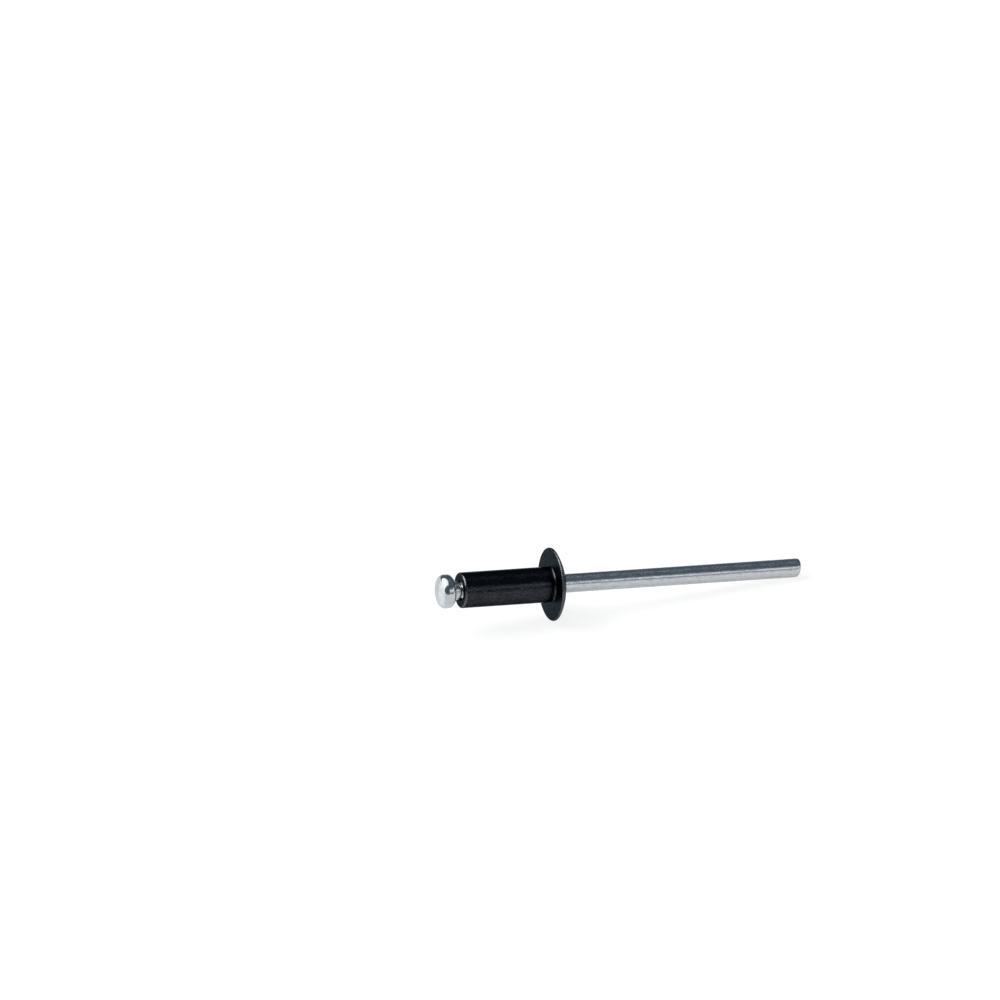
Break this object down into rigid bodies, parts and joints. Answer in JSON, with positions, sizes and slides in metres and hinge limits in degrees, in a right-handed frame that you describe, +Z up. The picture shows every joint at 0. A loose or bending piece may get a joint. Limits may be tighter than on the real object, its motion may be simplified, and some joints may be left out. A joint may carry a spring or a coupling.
{
  "type": "blind rivet",
  "caption": "Domed open-end blind rivet before setting: black-coated aluminium sleeve with a flange on a bright steel mandrel with a round head, a break notch and a slanted cut end.",
  "frame": {"origin": "centre of the bounding box's underside, on the surface that the rivet lies on", "axes": "+X along the rivet from the mandrel's head to its cut end, +Z up. The rivet lies as it comes to rest, so its own axis points 6.0 degrees down towards the cut end"},
  "size_m": [0.043, 0.0082, 0.0082],
  "materials": {
    "black_coat": "satin",
    "bright_steel": "gloss"
  },
  "bodies": {
    "root": {"rivet_body": "black_coat", "mandrel": "bright_steel"}
  },
  "joints": []
}
